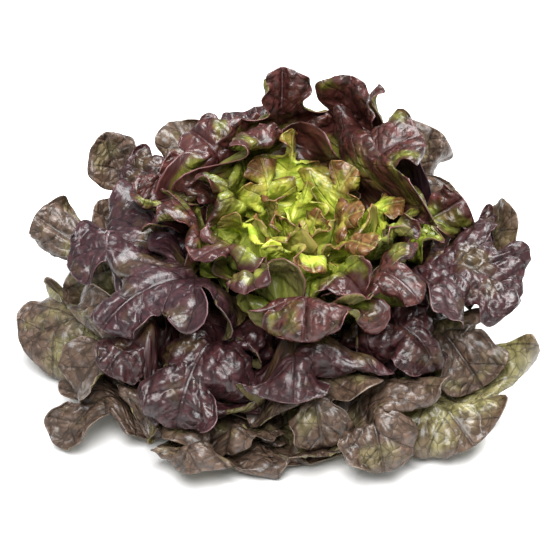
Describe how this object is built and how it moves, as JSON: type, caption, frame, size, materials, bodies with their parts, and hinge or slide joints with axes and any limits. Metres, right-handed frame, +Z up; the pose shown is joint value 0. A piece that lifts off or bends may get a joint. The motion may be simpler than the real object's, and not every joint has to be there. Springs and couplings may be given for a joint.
{
  "type": "oak leaf lettuce",
  "caption": "Loose head of red oak leaf lettuce: lobed, ruffled leaves in a rosette round a short cut stem, green at the heart and purple-brown outside.",
  "frame": {"origin": "on the floor under the middle of the head's bounding box, at the height of the stem's cut end", "axes": "+Z up, away from the cut end; -Y towards the side that the picture shows, +X to its right"},
  "size_m": [0.277, 0.2555, 0.1391],
  "materials": {
    "stem": "matte",
    "heart_leaf": "satin",
    "inner_leaf": "satin",
    "middle_leaf": "satin",
    "outer_leaf": "satin"
  },
  "bodies": {
    "root": {"core_stem": "stem", "heart_leaf_01": "heart_leaf", "heart_leaf_02": "heart_leaf", "heart_leaf_03": "heart_leaf", "heart_leaf_04": "heart_leaf", "heart_leaf_05": "heart_leaf", "heart_leaf_06": "heart_leaf", "heart_leaf_07": "heart_leaf", "heart_leaf_08": "heart_leaf", "heart_leaf_09": "heart_leaf", "heart_leaf_10": "heart_leaf", "heart_leaf_11": "heart_leaf", "heart_leaf_12": "heart_leaf", "heart_leaf_13": "heart_leaf", "heart_leaf_14": "heart_leaf", "inner_leaf_01": "inner_leaf", "inner_leaf_02": "inner_leaf", "inner_leaf_03": "inner_leaf", "inner_leaf_04": "inner_leaf", "inner_leaf_05": "inner_leaf", "inner_leaf_06": "inner_leaf", "inner_leaf_07": "inner_leaf", "inner_leaf_08": "inner_leaf", "inner_leaf_09": "inner_leaf", "inner_leaf_10": "inner_leaf", "inner_leaf_11": "inner_leaf", "inner_leaf_12": "inner_leaf", "inner_leaf_13": "inner_leaf", "inner_leaf_14": "inner_leaf", "inner_leaf_15": "inner_leaf", "inner_leaf_16": "inner_leaf", "middle_leaf_01": "middle_leaf", "middle_leaf_02": "middle_leaf", "middle_leaf_03": "middle_leaf", "middle_leaf_04": "middle_leaf", "middle_leaf_05": "middle_leaf", "middle_leaf_06": "middle_leaf", "middle_leaf_07": "middle_leaf", "middle_leaf_08": "middle_leaf", "middle_leaf_09": "middle_leaf", "middle_leaf_10": "middle_leaf", "middle_leaf_11": "middle_leaf", "outer_leaf_01": "outer_leaf", "outer_leaf_02": "outer_leaf", "outer_leaf_03": "outer_leaf", "outer_leaf_04": "outer_leaf", "outer_leaf_05": "outer_leaf", "outer_leaf_06": "outer_leaf", "outer_leaf_07": "outer_leaf", "outer_leaf_08": "outer_leaf", "outer_leaf_09": "outer_leaf", "outer_leaf_10": "outer_leaf", "outer_leaf_11": "outer_leaf", "outer_leaf_12": "outer_leaf", "outer_leaf_13": "outer_leaf", "outer_leaf_14": "outer_leaf", "outer_leaf_15": "outer_leaf", "outer_leaf_16": "outer_leaf", "outer_leaf_17": "outer_leaf", "outer_leaf_18": "outer_leaf"}
  },
  "joints": []
}
